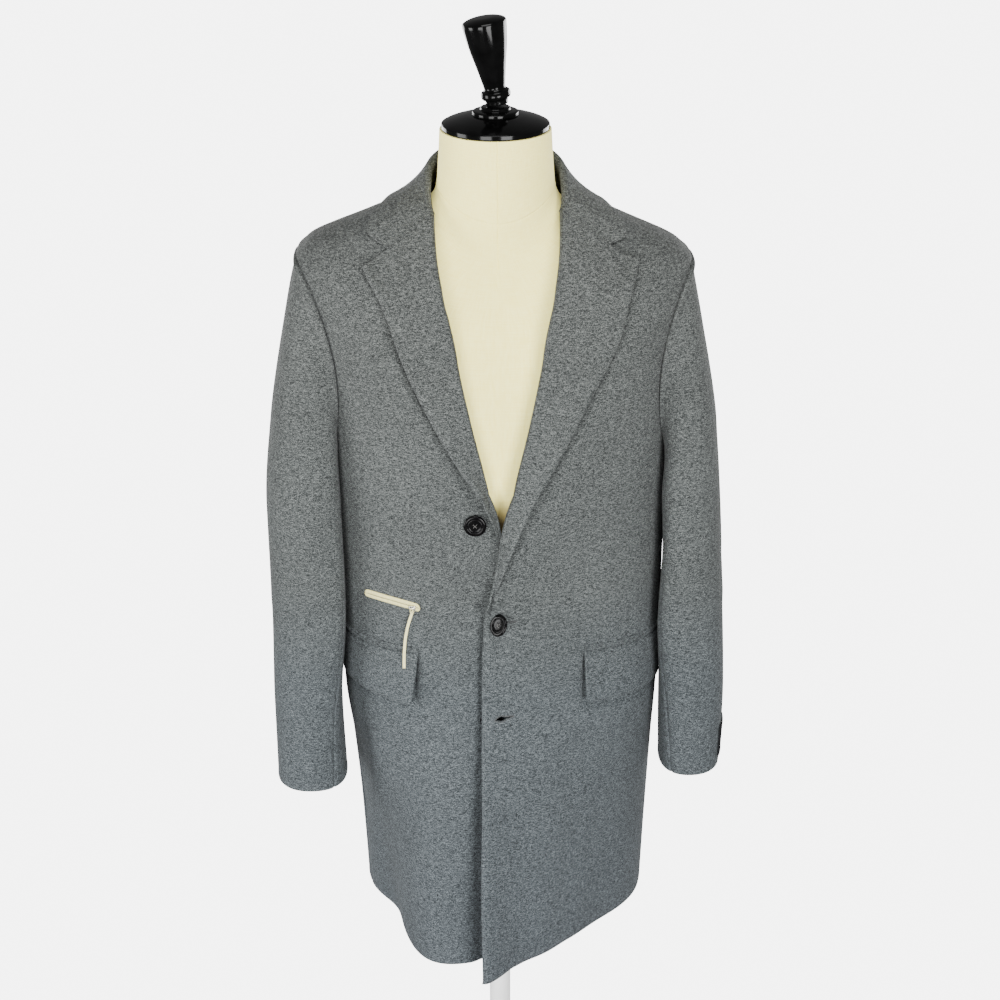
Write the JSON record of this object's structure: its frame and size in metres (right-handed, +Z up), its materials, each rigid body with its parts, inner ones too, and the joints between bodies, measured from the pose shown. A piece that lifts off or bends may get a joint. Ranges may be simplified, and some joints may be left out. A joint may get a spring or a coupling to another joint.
{
  "type": "overcoat on a dress form",
  "caption": "Single-breasted wool overcoat with notched lapels, flap pockets and a zipped ticket pocket, worn by a limbless dress form on a pole and round base.",
  "frame": {"origin": "centre of the base's underside, on the floor", "axes": "+Z up, the coat's front faces -Y, +X is the wearer's left"},
  "size_m": [0.558, 0.4039, 1.6991],
  "materials": {
    "grey_wool": "grey melange wool, slightly napped",
    "black_button": "polished black",
    "pale_zip_tape": "pale woven tape",
    "slider_metal": "satin",
    "pale_pull": "pale narrow ribbon",
    "dark_patch": "plain black cloth",
    "cream_canvas": "tight cream canvas",
    "black_lacquer": "gloss black lacquer",
    "pale_steel": "pale satin coat"
  },
  "bodies": {
    "root": {"right_front": "grey_wool", "left_front": "grey_wool", "back": "grey_wool", "right_upper_sleeve": "grey_wool", "right_under_sleeve": "grey_wool", "left_upper_sleeve": "grey_wool", "left_under_sleeve": "grey_wool", "right_lapel": "grey_wool", "left_lapel": "grey_wool", "collar": "grey_wool", "right_flap": "grey_wool", "left_flap": "grey_wool", "top_button": "black_button", "middle_button": "black_button", "lower_button": "black_button", "zip_tape": "pale_zip_tape", "zip_slider": "slider_metal", "zip_pull": "pale_pull", "left_cuff_patch": "dark_patch", "form_torso": "cream_canvas", "neck_cap": "black_lacquer", "finial": "black_lacquer", "pole": "pale_steel", "base": "pale_steel"}
  },
  "joints": []
}
